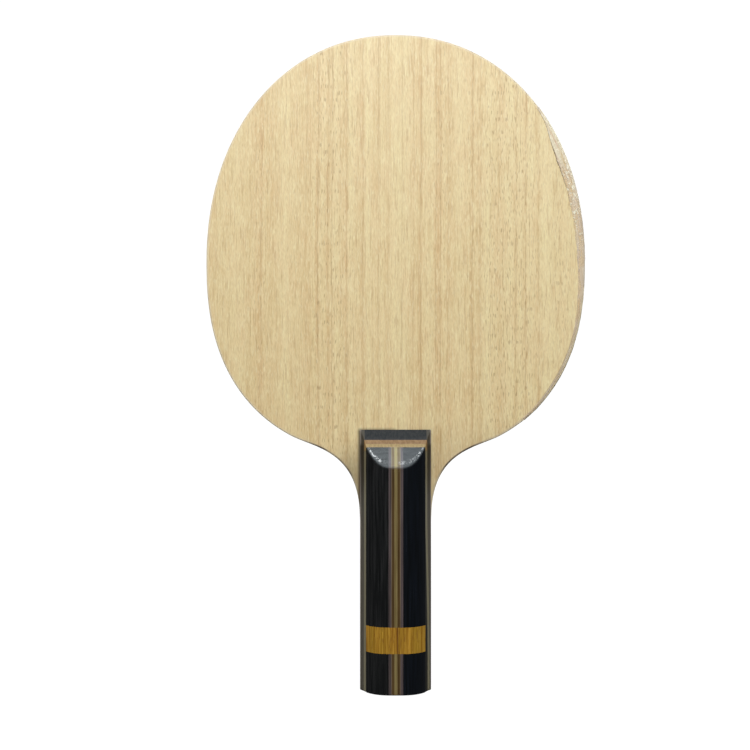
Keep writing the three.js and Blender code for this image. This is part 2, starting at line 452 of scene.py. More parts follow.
def upper_rows():
    """Rows from the band to the top of the bevel, close together where the soft edge crosses."""
    end = size.length - size.slope * size.cream_top
    arc = size.length - size.slope * (size.crown + BEVEL_BLEND)
    plain = np.linspace(size.band_top, arc - 0.2 * MM, 30)
    return np.concatenate([plain[:-1], np.linspace(arc - 0.2 * MM, end, 70)])


def body_edge_at(z):
    """Half-width of the body's foot at a height along the handle."""
    return float(crown_half_width(partner_height(bevel_height(z), size.cream_top), z))


STRIPS = (
    "cream_strip", "left_brown_strip", "right_brown_strip", "left_light_line", "right_light_line",
    "left_mauve_strip", "right_mauve_strip",
)


def handle_scale(side, looks):
    """One scale: three layers, the gold band, and the strips and blocks below and above it."""
    base, tan, cream = size.base_top, size.tan_top, size.cream_top
    layer_piece(side, "base_layer", 0.0, base, "dark_base", looks["base"])
    layer_piece(side, "tan_veneer", base, tan, "tan_veneer", looks["tan"], 5)
    layer_piece(side, "cream_veneer", tan, cream, "cream_veneer", looks["cream"], 5)
    even = np.linspace(0, 1, 7)
    wide = 0.5 - 0.5 * np.cos(np.linspace(0, math.pi, 81))
    outwards = np.sin(np.linspace(0, math.pi / 2, 45))
    body_piece(side, "gold_band", lambda z: (-body_edge_at(z), body_edge_at(z)),
               np.linspace(size.band_bottom, size.band_top, 9), "gold_wood", looks["gold"], wide)
    for part, rows in (("lower", lower_rows()), ("upper", upper_rows())):
        for strip in STRIPS:
            slot = strip.removeprefix("left_").removeprefix("right_")
            low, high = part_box(f"front_{strip}_{part}")
            body_piece(side, f"{strip}_{part}", lambda z, a=low.x, b=high.x: (a, b),
                       rows, slot, looks[slot], even)
        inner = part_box(f"front_right_mauve_strip_{part}")[1].x
        body_piece(side, f"right_black_block_{part}", lambda z: (inner, body_edge_at(z)),
                   rows, "black_wood", looks["black_right"], outwards)
        body_piece(side, f"left_black_block_{part}", lambda z: (-inner, -body_edge_at(z)),
                   rows, "black_wood", looks["black_left"], outwards)


# ---------------------------------------------------------------------------------------------
# Clear film over the right rim
# ---------------------------------------------------------------------------------------------


def film_lap(z, low, high):
    """How far the film is folded onto each face at a height, between its two ends."""
    from_bottom = smoothstep(z, low, FILM_FULL_LOW)
    from_top = 1 - smoothstep(z, FILM_FULL_HIGH, high)
    return FILM_LAP_ENDS + (FILM_LAP - FILM_LAP_ENDS) * np.minimum(from_bottom, from_top)


def film_section(lap, rounding):
    """Distances out from the rim and heights over the mid-plane, front lap first and back last."""
    turn = np.linspace(0, math.pi / 2, 9)
    flat = np.linspace(-lap, -max(rounding, 0.2 * lap), FILM_LAP_POINTS)
    out = np.concatenate([flat, -rounding + rounding * np.sin(turn)[1:]])
    corner = size.face - rounding + rounding * np.cos(turn)[1:]
    up = np.concatenate([np.full(FILM_LAP_POINTS, size.face), corner])
    middle = [up[-1] / 2, 0.0, -up[-1] / 2]
    return np.concatenate([out, [0.0, 0.0, 0.0], out[::-1]]), np.concatenate([up, middle, -up[::-1]])


def film_lift(along, out, up):
    """How far the crinkled film stands off the wood, by its place along and across the rim."""
    crease = noise.noise(Vector((along / (1.1 * MM), out / (0.8 * MM), up * 300)))
    fold = noise.noise(Vector((along / (3.4 * MM), out / (1.6 * MM), 40 + up * 90)))
    return FILM_LIFT + FILM_CRINKLE * (0.5 + 0.5 * crease) * (0.5 + 0.5 * fold)


def rim_film(material):
    """A thin crinkled sheet from the front face, round the rim, to the back face.

    Its marks are border, along its free edges, and band, the distance out from the rim in laps.
    """
    low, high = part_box("rim_film")
    gap = (high.x - outline[:, 0].max()) / 3
    lengths = np.concatenate([[0], np.cumsum(np.linalg.norm(np.diff(outline, axis=0), axis=1))])
    start, end = np.interp([low.z, high.z], outline[:, 1], lengths)
    along = np.linspace(start, end, FILM_STATIONS)
    x, z = (np.interp(along, lengths, outline[:, i]) for i in (0, 1))
    nx, nz = (np.interp(along, lengths, normals[:, i]) for i in (0, 1))
    rounding = np.interp(along, lengths, rim_rounding(1))
    verts, borders, bands = [], [], []
    for k in range(FILM_STATIONS):
        lap = float(film_lap(z[k], low.z, high.z))
        lap *= 1 + FILM_WAVER * noise.noise(Vector((along[k] / (4 * MM), 7.1, 0)))
        out, up = film_section(lap, rounding[k])
        for j, (o, u) in enumerate(zip(out, up)):
            lift = film_lift(along[k], o, u)
            spread = o + (max(o + gap + lift, 0) if o > -rounding[k] else 0)
            on_face = abs(u) > size.face - 2 * MM  # elsewhere the film is lifted outwards only
            y = -(u + math.copysign(lift, u) * on_face)
            verts.append((x[k] + nx[k] * spread, y, z[k] + nz[k] * spread))
            borders.append(float(min(j, len(out) - 1 - j) < 2))
            bands.append(o / FILM_LAP)
    width = len(verts) // FILM_STATIONS
    faces = [
        (k * width + j, k * width + j + 1, (k + 1) * width + j + 1, (k + 1) * width + j)
        for k in range(FILM_STATIONS - 1) for j in range(width - 1)
    ]
    piece = make_piece("rim_film_fine", verts, faces, "rim_film", "clear_film", material,
                       sharp=math.radians(60), border=borders, band=bands)
    solid = piece.modifiers.new("thickness", "SOLIDIFY")
    solid.thickness = FILM_THICKNESS
    solid.offset = 1
    return piece


# ---------------------------------------------------------------------------------------------
# Materials
# ---------------------------------------------------------------------------------------------


def screen(red, green, blue):
    """An 8-bit screen color as Blender's linear color."""
    def linear(value):
        value /= 255
        return value / 12.92 if value <= 0.04045 else ((value + 0.055) / 1.055) ** 2.4
    return (linear(red), linear(green), linear(blue), 1)


LINE_HALF_WIDTH = 0.45  # of a thin line, in millimetres
LINES_PER_RAMP = 9  # a color ramp holds 32 stops and a line takes 3

LEFT_TO_RIGHT = (-1 * MM, 1 * MM)  # a look changes from the left side to the right between these
FLANK_SPLAY = (0.3 * MM, 1.2 * MM)  # growth of the flanks' distance at the butt, left and right
FLANK_SPLAY_HEIGHTS = (0.09, 0.01)  # from no growth to all of it


class Shader:
    """A material's node tree, with one short call for each kind of node."""

    def __init__(self, name, **constants):
        self.material = bpy.data.materials.new(name)
        self.material.use_nodes = True
        self.tree = self.material.node_tree
        self.surface = self.tree.nodes["Principled BSDF"]
        for socket, value in constants.items():
            self.surface.inputs[socket.replace("_", " ")].default_value = value
        self.place = self.node("ShaderNodeTexCoord").outputs["Object"]

    def node(self, kind, **settings):
        made = self.tree.nodes.new(kind)
        for name, value in settings.items():
            setattr(made, name, value)
        return made

    def feed(self, socket, value):
        if isinstance(value, bpy.types.NodeSocket):
            self.tree.links.new(value, socket)
        else:
            socket.default_value = value

    def math(self, operation, a, b=0.0):
        made = self.node("ShaderNodeMath", operation=operation)
        self.feed(made.inputs[0], a)
        self.feed(made.inputs[1], b)
        return made.outputs[0]

    def times(self, first, *others):
        """The product of two or more numbers."""
        for other in others:
            first = self.math("MULTIPLY", first, other)
        return first

    def plus(self, first, *others):
        """The sum of two or more numbers."""
        for other in others:
            first = self.math("ADD", first, other)
        return first

    def mark(self, name):
        """A number stored on the mesh, 0 where the mesh has none of that name."""
        return self.node("ShaderNodeAttribute", attribute_name=name).outputs["Fac"]

    def fit(self, value, low, high, to_low=0.0, to_high=1.0):
        """A smooth step from to_low, where the value is low, to to_high, where it is high."""
        made = self.node("ShaderNodeMapRange", interpolation_type="SMOOTHSTEP")
        for index, number in enumerate((value, low, high, to_low, to_high)):
            self.feed(made.inputs[index], number)
        return made.outputs[0]

    def mix(self, factor, a, b):
        made = self.node("ShaderNodeMix", data_type="RGBA")
        self.feed(made.inputs["Factor"], factor)
        self.feed(made.inputs["A"], a)
        self.feed(made.inputs["B"], b)
        return made.outputs["Result"]

    def stretched(self, width, depth, length, shift):
        """The place measured in cells of this size in metres."""
        made = self.node("ShaderNodeMapping")
        made.inputs["Scale"].default_value = (1 / width, 1 / depth, 1 / length)
        made.inputs["Location"].default_value = (shift, shift * 0.7, shift * 1.3)
        self.feed(made.inputs["Vector"], self.place)
        return made.outputs["Vector"]

    def noise(self, where, detail=2.0, rough=0.5, twist=0.0):
        made = self.node("ShaderNodeTexNoise")
        self.feed(made.inputs["Vector"], where)
        made.inputs["Scale"].default_value = 1.0
        made.inputs["Detail"].default_value = detail
        made.inputs["Roughness"].default_value = rough
        made.inputs["Distortion"].default_value = twist
        return made.outputs["Fac"]

    def across(self, axis="X"):
        parts = self.node("ShaderNodeSeparateXYZ")
        self.feed(parts.inputs[0], self.place)
        return parts.outputs[axis]

    def bands(self, position, tones):
        """A smooth tone from 0 to 1 along a line, through (millimetres, -1 to 1) pairs."""
        start, end = tones[0][0] * MM, tones[-1][0] * MM
        spread = self.node("ShaderNodeMapRange")
        for index, number in enumerate((position, start, end)):
            self.feed(spread.inputs[index], number)
        ramp = self.node("ShaderNodeValToRGB")
        ramp.color_ramp.interpolation = "EASE"
        stops = ramp.color_ramp.elements
        stops.remove(stops[1])
        for index, (place, tone) in enumerate(tones):
            along = (place * MM - start) / (end - start)
            stop = stops[0] if index == 0 else stops.new(along)
            level = 0.5 + 0.5 * tone
            stop.color = (level, level, level, 1)
        self.feed(ramp.inputs["Fac"], spread.outputs[0])
        return ramp.outputs["Color"]

    def thin_lines(self, position, lines):
        """Narrow lines across the position, from (millimetres, strength) pairs in rising order."""
        total = 0.0
        for first in range(0, len(lines), LINES_PER_RAMP):
            tones = []
            for place, strength in lines[first:first + LINES_PER_RAMP]:
                tones += [(place - LINE_HALF_WIDTH, -1), (place, 2 * strength - 1),
                          (place + LINE_HALF_WIDTH, -1)]
            total = self.math("ADD", total, self.bands(position, tones))
        return total

    def flank(self, distance):
        """0 near the handle's axis and 1 beyond the distance, which grows toward the butt."""
        splay = self.fit(self.across(), *LEFT_TO_RIGHT, *FLANK_SPLAY)
        splay = self.times(splay, self.fit(self.across("Z"), *FLANK_SPLAY_HEIGHTS))
        reach = self.math("SUBTRACT", self.math("ABSOLUTE", self.across()), splay)
        return self.fit(reach, distance - 0.2 * MM, distance + 0.1 * MM)

    def bump(self, height, distance, strength):
        made = self.node("ShaderNodeBump")
        made.inputs["Distance"].default_value = distance
        made.inputs["Strength"].default_value = strength
        self.feed(made.inputs["Height"], height)
        self.feed(self.surface.inputs["Normal"], made.outputs["Normal"])

    def paint(self, color, roughness=None):
        self.feed(self.surface.inputs["Base Color"], color)
        if roughness is not None:
            self.feed(self.surface.inputs["Roughness"], roughness)
        return self.material


# Growth lines of the face veneer on each side of its middle: distance from the middle in
# millimetres, and tone from -1, a dark line, to 1, a pale band.
LEFT_GROWTH = (
    (-76, 0.0), (-63, 0.4), (-57, 0.0), (-55.2, -0.3), (-53.2, -0.9), (-52, 0.0), (-49.2, -0.3),
    (-47, 0.1), (-45, 0.35), (-43.2, 0.8), (-41.5, 0.1), (-36.5, -0.15), (-34, -0.3), (-32, 0.2),
    (-30.9, -0.9), (-29.8, 0.0), (-28.9, 0.25), (-27.6, 0.0), (-26.6, -0.8), (-25.6, 0.0),
    (-23.8, 0.6), (-21.5, 0.0), (-19.4, -0.5), (-17.8, 0.7), (-15, 0.1), (-13, -0.5), (-11.1, 0.8),
    (-8.5, 0.0), (-6.7, -0.25), (-5.5, 0.45), (-3.1, -0.2), (0, 0.6),
)
RIGHT_GROWTH = (
    (0, 0.6), (4.1, 0.5), (7.2, -0.4), (8.3, -0.1), (10, -0.9), (11.2, 0.1), (14.5, 0.2),
    (16.4, -0.85), (17.6, -1.0), (19, -0.1), (21.1, -0.55), (23, 0.0), (25.1, 0.2), (28, -0.2),
    (29.2, 0.0), (30.3, -1.0), (31.6, 0.0), (33.5, -0.5), (35, 0.3), (36.6, 0.6), (39, 0.1),
    (41.4, -0.4), (43.5, 0.2), (45.8, 0.5), (47.8, -0.2), (49.5, 0.5), (51.8, -0.3), (53.5, 0.7),
    (56.9, -0.2), (59, 0.8), (64, 0.4), (76, 0.5),
)

# Narrow dark lines of the same veneer: place in millimetres and strength from 0 to 1.
FACE_LINES = (
    (-53.2, 0.45), (-35.4, 0.35), (-30.6, 1.0), (-26.6, 0.4), (-25.0, 0.75), (-19.2, 0.6),
    (-12.8, 0.5), (-6.6, 0.6), (-2.8, 0.4), (2.7, 0.45), (7.2, 0.45), (10.1, 0.75), (16.0, 0.45),
    (17.8, 0.6), (20.9, 0.25), (30.5, 0.7), (33.8, 0.3), (42.8, 0.25), (48.1, 0.65), (51.9, 0.65),
    (57.2, 0.45), (64.0, 0.35),
)

# Where the pores gather: place in millimetres, and -1 for none to 1 for many.
PORE_BELTS = (
    (-76, -0.7), (-60, -0.5), (-53, 0.2), (-48, -0.6), (-34, -0.4), (-30, 0.7), (-24, 0.7),
    (-18, 0.0), (-10, -0.8), (8, -0.9), (14, -0.2), (18, 0.2), (24, -0.6), (30, 0.0), (34, -0.3),
    (38, 0.7), (44, 1.0), (50, 1.0), (54, 0.3), (60, -0.4), (65, 0.2), (76, -0.2),
)


# Heights on the blade between which a look comes in, from none of it to all of it.
# The next three heights set the painted shade on the neck beside the handle.
SHADED_NECK_LEFT = (0.1025, 0.085)
SHADED_NECK_RIGHT = (0.112, 0.086)
SHADED_CORNER = (0.1045, 0.1025)
# The next four heights set the rim's painted shade: a dark line at the neck, and a brown line low on
# the right.
DARK_RIM_BOTTOM = (0.083, 0.088)
DARK_RIM_TOP = (0.1, 0.096)
BROWN_RIM_TOP = (0.16, 0.14)
BROWN_RIM_FULL = (0.111, 0.12)
CORNER_SHADE = (0.78, 0.1)  # strength of the painted shade beside the handle, left and right


def painted_neck_shade(s, height):
    """Painted shade: 0 on lit veneer and up to 1 on the neck, most in the corner along the handle's
    left side.
    """
    side = s.across()
    left = s.times(s.fit(height, *SHADED_NECK_LEFT), s.fit(side, -27 * MM, -18 * MM))
    left = s.times(left, s.fit(side, 0.0, -1 * MM, 0.0, 0.46))
    right = s.times(s.fit(height, *SHADED_NECK_RIGHT), s.fit(side, 14.5 * MM, 20 * MM, 1.0, 0.7))
    right = s.times(right, s.fit(side, 0.0, 1 * MM, 0.0, 0.24))
    beside_handle = s.math("SUBTRACT", s.math("ABSOLUTE", side), size.half_width)
    corner = s.fit(beside_handle, 1.8 * MM, 0.2 * MM)
    corner = s.times(corner, corner, s.fit(height, *SHADED_CORNER))
    corner = s.times(corner, s.fit(side, *LEFT_TO_RIGHT, *CORNER_SHADE))
    unshaded = s.math("SUBTRACT", 1.0, s.plus(left, right))
    unshaded = s.times(unshaded, s.math("SUBTRACT", 1.0, corner))
    return s.math("SUBTRACT", 1.0, unshaded)


def rim_wear_and_light(s, color, height, skin):
    """The veneer's color with its rounded edge pale, partly sanded wood and partly a painted
    highlight, with painted shade on the rim at the neck and in a brown line low on the right.
    """
    rim = s.mark("wear")
    patches = s.fit(s.noise(s.stretched(0.012, skin, 0.012, 3.7), 1), 0.36, 0.5, 0.45, 1.0)
    neck = s.times(s.fit(height, *DARK_RIM_BOTTOM), s.fit(height, *DARK_RIM_TOP), patches, 0.95)
    low_right = s.times(s.fit(height, *BROWN_RIM_TOP), s.math("GREATER_THAN", s.across(), 0.0))
    low_right = s.times(low_right, s.fit(height, *BROWN_RIM_FULL, 0.15, 0.5))
    inside_rim = s.times(rim, s.math("SUBTRACT", 1.15, rim))
    # pale rounded edge: paler sanded wood with a painted highlight
    color = s.mix(s.times(rim, 0.5), color, screen(232, 220, 194))
    # painted shade along the rounded edge at the neck
    color = s.mix(s.times(s.fit(rim, 0.5, 0.9), neck), color, screen(78, 60, 42))
    # painted shade as a brown line just inside the rounded edge, low on the right
    return s.mix(s.times(inside_rim, low_right, 2.6), color, screen(84, 66, 46))


def koto_face():
    """Straight-grained pale veneer: growth bands, narrow dark lines and short pores in belts."""
    s = Shader("koto_veneer", Specular_IOR_Level=0.45)
    skin = 0.0015  # noise cells this deep keep the two faces different
    drift = s.math("SUBTRACT", s.noise(s.stretched(0.06, skin, 0.13, 3.1), 1), 0.5)
    wobble = s.math("SUBTRACT", s.noise(s.stretched(0.002, skin, 0.004, 4.4), 1), 0.5)
    unrest = s.fit(s.across(), 0.01, 0.04, 0.0006, 0.0016)  # the lines wobble more on the right
    across = s.plus(s.across(), s.times(drift, 0.002), s.times(wobble, unrest))
    left, right = s.bands(across, LEFT_GROWTH), s.bands(across, RIGHT_GROWTH)
    growth = s.mix(s.math("GREATER_THAN", across, 0.0), left, right)
    medium = s.noise(s.stretched(0.0014, skin, 0.06, 9.0), 1)
    hue = s.noise(s.stretched(0.005, skin, 0.02, 7.3), 1)
    lines = s.thin_lines(across, FACE_LINES)
    faded = s.fit(s.noise(s.stretched(0.0015, skin, 0.014, 2.9), 1), 0.32, 0.64, 0.1, 1.0)
    stray = s.fit(s.noise(s.stretched(0.0006, skin, 0.009, 1.7), 1), 0.58, 0.7)
    dashes = s.fit(s.noise(s.stretched(0.00036, skin, 0.0016, 5.2), 1), 0.3, 0.7)
    pale_dashes = s.fit(s.noise(s.stretched(0.00042, skin, 0.0026, 6.1), 1), 0.5, 0.76)
    streaks = s.fit(s.noise(s.stretched(0.0004, skin, 0.01, 6.6), 1), 0.3, 0.7)
    belts = s.fit(s.bands(across, PORE_BELTS), 0.0, 1.0, 0.12, 1.0)
    pores = s.fit(s.noise(s.stretched(0.0004, skin, 0.0026, 2.6), 0), 0.62, 0.74)
    pores = s.times(pores, belts)
    mottle = s.noise(s.stretched(0.004, skin, 0.007, 8.8), 3)

    color = s.mix(growth, screen(216, 179, 124), screen(247, 232, 180))
    color = s.mix(s.fit(medium, 0.3, 0.7, 0, 0.35), color, screen(221, 195, 142))
    color = s.mix(s.fit(hue, 0.35, 0.65, 0.3, 0), color, screen(239, 208, 160))
    color = s.mix(s.fit(mottle, 0.3, 0.7, 0, 0.34), color, screen(246, 231, 180))
    color = s.mix(s.fit(s.across(), -0.06, 0.05, 0.1, 0), color, screen(214, 170, 110))
    color = s.mix(s.times(dashes, 0.3), color, screen(200, 171, 118))
    color = s.mix(s.times(streaks, 0.25), color, screen(252, 238, 190))
    color = s.mix(s.times(pale_dashes, 0.36), color, screen(255, 246, 204))
    color = s.mix(s.times(stray, 0.3), color, screen(186, 146, 98))
    color = s.mix(s.times(lines, faded, 0.54), color, screen(176, 136, 88))
    color = s.mix(s.times(pores, 0.45), color, screen(160, 124, 82))
    height = s.across("Z")
    # the rounded rim: paler sanded wood with a painted highlight, and painted shade at the neck and
    # low on the right
    color = rim_wear_and_light(s, color, height, skin)
    # painted shade on the neck beside the handle, strongest in its left corner
    color = s.mix(painted_neck_shade(s, height), color, screen(34, 24, 10))
    relief = s.math("SUBTRACT", s.times(streaks, 0.5), s.plus(pores, dashes))
    s.bump(relief, 0.00004, 0.5)
    return s.paint(color, s.fit(medium, 0.2, 0.8, 0.36, 0.44))


def plain_wood(name, light, dark, shift):
    """An unvarnished ply, seen at the rim only."""
    s = Shader(name, Roughness=0.6, Specular_IOR_Level=0.3)
    lines = s.noise(s.stretched(0.0024, 0.0006, 0.012, shift), 3, 0.6)
    specks = s.fit(s.noise(s.stretched(0.0007, 0.0003, 0.0009, shift + 4), 1), 0.62, 0.74)
    color = s.mix(s.fit(lines, 0.3, 0.7), light, dark)
    color = s.mix(s.times(specks, 0.5), color, dark)
    s.bump(lines, 0.00005, 0.5)
    return s.paint(color)


def fibre_cloth():
    """Woven dark fibre in glue, seen at the rim as a thin line of alternating threads."""
    s = Shader("fibre_cloth", Roughness=0.45, Specular_IOR_Level=0.5)
    threads = s.noise(s.stretched(0.0012, 0.001, 0.0012, 2.0), 0)
    color = s.mix(s.fit(threads, 0.45, 0.55), screen(74, 70, 50), screen(120, 112, 66))
    return s.paint(color)


VARNISH_TINT = (0.82, 0.92, 0.97, 1)

# Distances from the handle's axis where the sanded sides, with their painted sheen and shade tones,
# begin: those of the veneers and of the dark base, and the base's foot against the blade.
VENEER_SIDE = 11.5 * MM
BASE_SIDE = 12.3 * MM
BASE_FOOT = 13.7 * MM

# Heights on the handle between which a look comes in, from none of it to all of it.
VENEER_SIDES_TOP = (0.0955, 0.0945)
SIDE_DARKENING_BOTTOM = (0.05, 0.097)
SIDE_DARKENING_TOP = (0.0985, 0.0965)

# Where painted glints (highlights) go along the bevel's lower edge: place in millimetres, -1 to 1.
GLINTS = (
    (-13, -1), (-10.6, -0.8), (-9.7, 0.8), (-8, 0.8), (-7.4, 0), (-6.4, 0.7), (-5.2, -0.9),
    (0.6, -1), (1.8, -0.2), (2.8, -0.2), (4.2, -0.9), (6, -0.3), (7.6, -0.6), (8.7, 0.8),
    (9.6, -0.2), (11, -0.4), (13, -1),
)


def side_sheen_and_darkening(s, color, flanks, top_darkening):
    """The layers' sanded sides: dark below the bevel, a painted sheen and shade tone beyond each
    distance, then darker toward the top of the handle.
    """
    height = s.across("Z")
    if flanks:
        color = s.mix(s.fit(height, *VENEER_SIDES_TOP), color, screen(30, 26, 18))
    # each tone is painted sheen and shade on the sanded side beyond its distance
    for distance, tone in flanks:
        shown = s.flank(distance)
        if distance < BASE_SIDE:
            shown = s.times(shown, s.fit(height, *VENEER_SIDES_TOP))
        color = s.mix(shown, color, tone)
    # the sides grow darker toward the top of the handle, beside the blade
    if top_darkening:
        climb = s.fit(height, *SIDE_DARKENING_BOTTOM)
        darkened = s.times(climb, climb, s.fit(height, *SIDE_DARKENING_TOP, 0.3, 1.0))
        color = s.mix(s.times(darkened, s.flank(BASE_SIDE), top_darkening), color, screen(26, 18, 8))
    return color


def varnished(name, light, dark, shift, gloss=0.2, spec=0.5, flanks=(), top_darkening=0.0, cut=None):
    """Dyed or natural handle wood under varnish: long fine grain, a few pores, painted glints along
    an edge.

    flanks lists (distance from the axis, color): the sanded sides beyond it have that color, a
    painted sheen and shade.
    The last two arguments set how much darker the sides are beside the blade toward the top, and the
    bevel's painted lighter color.
    """
    s = Shader(name, Specular_IOR_Level=spec, Specular_Tint=VARNISH_TINT)
    grain = s.noise(s.stretched(0.0007, 0.0007, 0.02, shift), 3, 0.6)
    pores = s.fit(s.noise(s.stretched(0.0003, 0.0003, 0.004, shift + 3), 1), 0.6, 0.75)
    # painted glints (highlights): whitish specks along the bevel's lower edge
    glint_specks = s.fit(s.noise(s.stretched(0.0007, 0.0007, 0.0007, 1.0), 1), 0.47, 0.55)
    edge_weight = s.times(s.fit(s.mark("wear"), 0.4, 0.8), glint_specks, s.bands(s.across(), GLINTS))
    color = s.mix(s.fit(grain, 0.3, 0.7), dark, light)
    color = s.mix(s.times(pores, 0.4), color, dark)
    color = side_sheen_and_darkening(s, color, flanks, top_darkening)
    # the bevel's painted lighter tone, where it faces the light
    if cut:
        color = s.mix(s.times(s.mark("cut"), 0.85), color, cut)
    # paint the glints whitish
    color = s.mix(edge_weight, color, screen(222, 226, 228))
    waves = s.noise(s.stretched(0.0035, 0.0035, 0.02, shift + 11), 3)
    sweeps = s.noise(s.stretched(0.005, 0.0012, 0.0018, shift + 17), 2)
    s.bump(s.plus(s.times(grain, 0.25), waves, sweeps), 0.00007, 0.5)
    rough = s.fit(grain, 0.2, 0.8, gloss, gloss + 0.08)
    return s.paint(color, s.plus(rough, s.times(s.mark("edge"), 0.2)))


def gold_wood():
    """Golden inlay with upright fibres and a darker seam near its middle."""
    s = Shader("gold_wood", Specular_IOR_Level=0.5)
    fibres = s.noise(s.stretched(0.0006, 0.0006, 0.02, 3.3), 3, 0.6)
    broad = s.noise(s.stretched(0.003, 0.003, 0.06, 7.9), 2)
    color = s.mix(s.fit(fibres, 0.3, 0.7), screen(136, 90, 18), screen(200, 152, 52))
    color = s.mix(s.fit(broad, 0.3, 0.7, 0, 0.5), color, screen(168, 134, 38))
    off_seam = s.math("ABSOLUTE", s.math("SUBTRACT", s.across(), 0.0007))
    seam = s.fit(off_seam, 0.0001, 0.0003, 0.8, 0)
    color = s.mix(seam, color, screen(84, 40, 14))
    dashes = s.fit(s.noise(s.stretched(0.0005, 0.0005, 0.0035, 4.9), 1), 0.58, 0.68, 0, 0.45)
    color = s.mix(dashes, color, screen(112, 62, 22))
    s.bump(fibres, 0.00005, 0.4)
    return s.paint(color, s.fit(fibres, 0.2, 0.8, 0.22, 0.32))


# Heights on the film between which a look comes in, from none of it to all of it.
GATHERED_BOTTOM = (0.17, 0.188)
GATHERED_TOP = (0.214, 0.204)
# the upper zone, where the film is painted whiter as a highlight
UPPER_ZONE_BOTTOM = (0.203, 0.213)
UPPER_ZONE_TOP = (0.233, 0.226)
# heights where the painted shadow line along the border comes in
BORDER_SHADOW_BOTTOM = (0.185, 0.217)

# The same across the film, by the mark band: -1 at its widest border and 0 at the rim.
# The next three set where the painted highlight lies across the upper zone.
RIDGE_OUTSIDE = (-0.92, -0.74)
RIDGE_INSIDE = (-0.3, -0.6)
RIM_SIDE = (-0.4, -0.05)


def clear_film():
    """Clear film: see-through below, gathered in creases with painted highlights, and with a painted
    highlight along a ridge on top.

    Near its upper end it is shut on the wood along its border, which shows as a painted shadow line.
    """
    s = Shader("clear_film", Roughness=0.18, Specular_IOR_Level=0.6)
    height, band = s.across("Z"), s.mark("band")
    gathered = s.times(s.fit(height, *GATHERED_BOTTOM), s.fit(height, *GATHERED_TOP))
    upper_zone = s.times(s.fit(height, *UPPER_ZONE_BOTTOM), s.fit(height, *UPPER_ZONE_TOP))
    border_shadow = s.times(s.mark("border"), s.fit(height, *BORDER_SHADOW_BOTTOM))
    # painted glints (highlights) on the film's crinkles
    crease_glints = s.fit(s.noise(s.stretched(0.0013, 0.002, 0.0018, 2.2), 2, 0.6, 0.6), 0.54, 0.64)
    crease_glints = s.times(crease_glints, s.plus(s.times(gathered, 0.9), 0.1))
    place = s.node("ShaderNodeCombineXYZ")
    s.feed(place.inputs["X"], s.times(band, 4.0))
    s.feed(place.inputs["Z"], s.times(height, 110.0))
    folds = s.noise(place.outputs[0], 3)
    cloudy = s.noise(s.stretched(0.003, 0.004, 0.009, 5.0), 2)
    ridge_highlight = s.times(s.fit(band, *RIDGE_OUTSIDE), s.fit(band, *RIDGE_INSIDE), upper_zone, 0.5)
    rim_highlight = s.times(s.fit(band, *RIM_SIDE), s.fit(upper_zone, 0.0, 1.0, 0.25, 0.6))
    highlight_streak = s.math("MAXIMUM", ridge_highlight, rim_highlight)

    milky = s.plus(s.fit(folds, 0.35, 0.65, 0.16, 0.4), s.times(crease_glints, 0.55))
    milky = s.plus(milky, s.times(s.plus(upper_zone, border_shadow), 0.22), s.times(highlight_streak, 0.6))
    color = s.mix(s.fit(folds, 0.35, 0.65), screen(220, 192, 158), screen(254, 244, 222))
    color = s.mix(s.fit(cloudy, 0.35, 0.65, 0, 0.5), color, screen(226, 212, 206))
    # painted highlight: the upper zone whiter
    color = s.mix(s.times(upper_zone, 0.75), color, screen(255, 242, 205))
    brown_folds = s.times(upper_zone, s.fit(folds, 0.5, 0.62, 0.0, 0.5))
    color = s.mix(brown_folds, color, screen(222, 176, 146))
    # painted shadow line along the film's border
    color = s.mix(border_shadow, color, screen(140, 118, 88))
    # painted highlights on the creases, the ridge and the rim side
    color = s.mix(s.math("MAXIMUM", crease_glints, highlight_streak), color, screen(255, 249, 222))
    s.feed(s.surface.inputs["Alpha"], s.math("MINIMUM", milky, 0.9))
    s.bump(s.noise(s.stretched(0.0008, 0.001, 0.0013, 1.0), 3), 0.0001, 0.7)
    return s.paint(color)


# ---------------------------------------------------------------------------------------------
# Camera, studio and lights
# ---------------------------------------------------------------------------------------------


def add_camera():
    data = bpy.data.cameras.new("camera")
    data.lens = LENS
    data.sensor_width = 36
    camera = bpy.data.objects.new("camera", data)
    camera.location = (CAMERA_SIDE, -size.face - CAMERA_DISTANCE, CAMERA_HEIGHT)
    camera.rotation_euler = (math.pi / 2, 0, 0)
    bpy.context.scene.collection.objects.link(camera)
    bpy.context.scene.camera = camera


def stage_mesh(name, verts, faces, material):
    mesh = bpy.data.meshes.new(name)
    mesh.from_pydata(verts, [], faces)
    mesh.materials.append(material)
    mesh.shade_smooth()
    item = bpy.data.objects.new(name, mesh)
    bpy.context.scene.collection.objects.link(item)
    return item


def white_paper(name, glow, albedo):
    s = Shader(name, Roughness=0.9, Specular_IOR_Level=0.0)
    s.surface.inputs["Emission Color"].default_value = (1, 1, 1, 1)
    s.surface.inputs["Emission Strength"].default_value = glow
    return s.paint((albedo, albedo, albedo, 1))


def backdrop(name, start, end, material):
    """An upright curved screen round the object, between two turns from +Y."""
    turns = np.linspace(start, end, 49)
    ring = [(BACKDROP_RADIUS * math.sin(t), BACKDROP_RADIUS * math.cos(t)) for t in turns]
    verts = [(x, y, h) for h in (0.0, BACKDROP_HEIGHT) for x, y in ring]
    count = len(ring)
    walls = [(k, k + 1, count + k + 1, count + k) for k in range(count - 1)]
    return stage_mesh(name, verts, walls, material)


def floor_sheet(name, height, material):
    low, high = -FLOOR_REACH, FLOOR_REACH
    corners = [(low, low, height), (high, low, height), (high, high, height), (low, high, height)]
    return stage_mesh(name, corners, [(0, 1, 2, 3)], material)


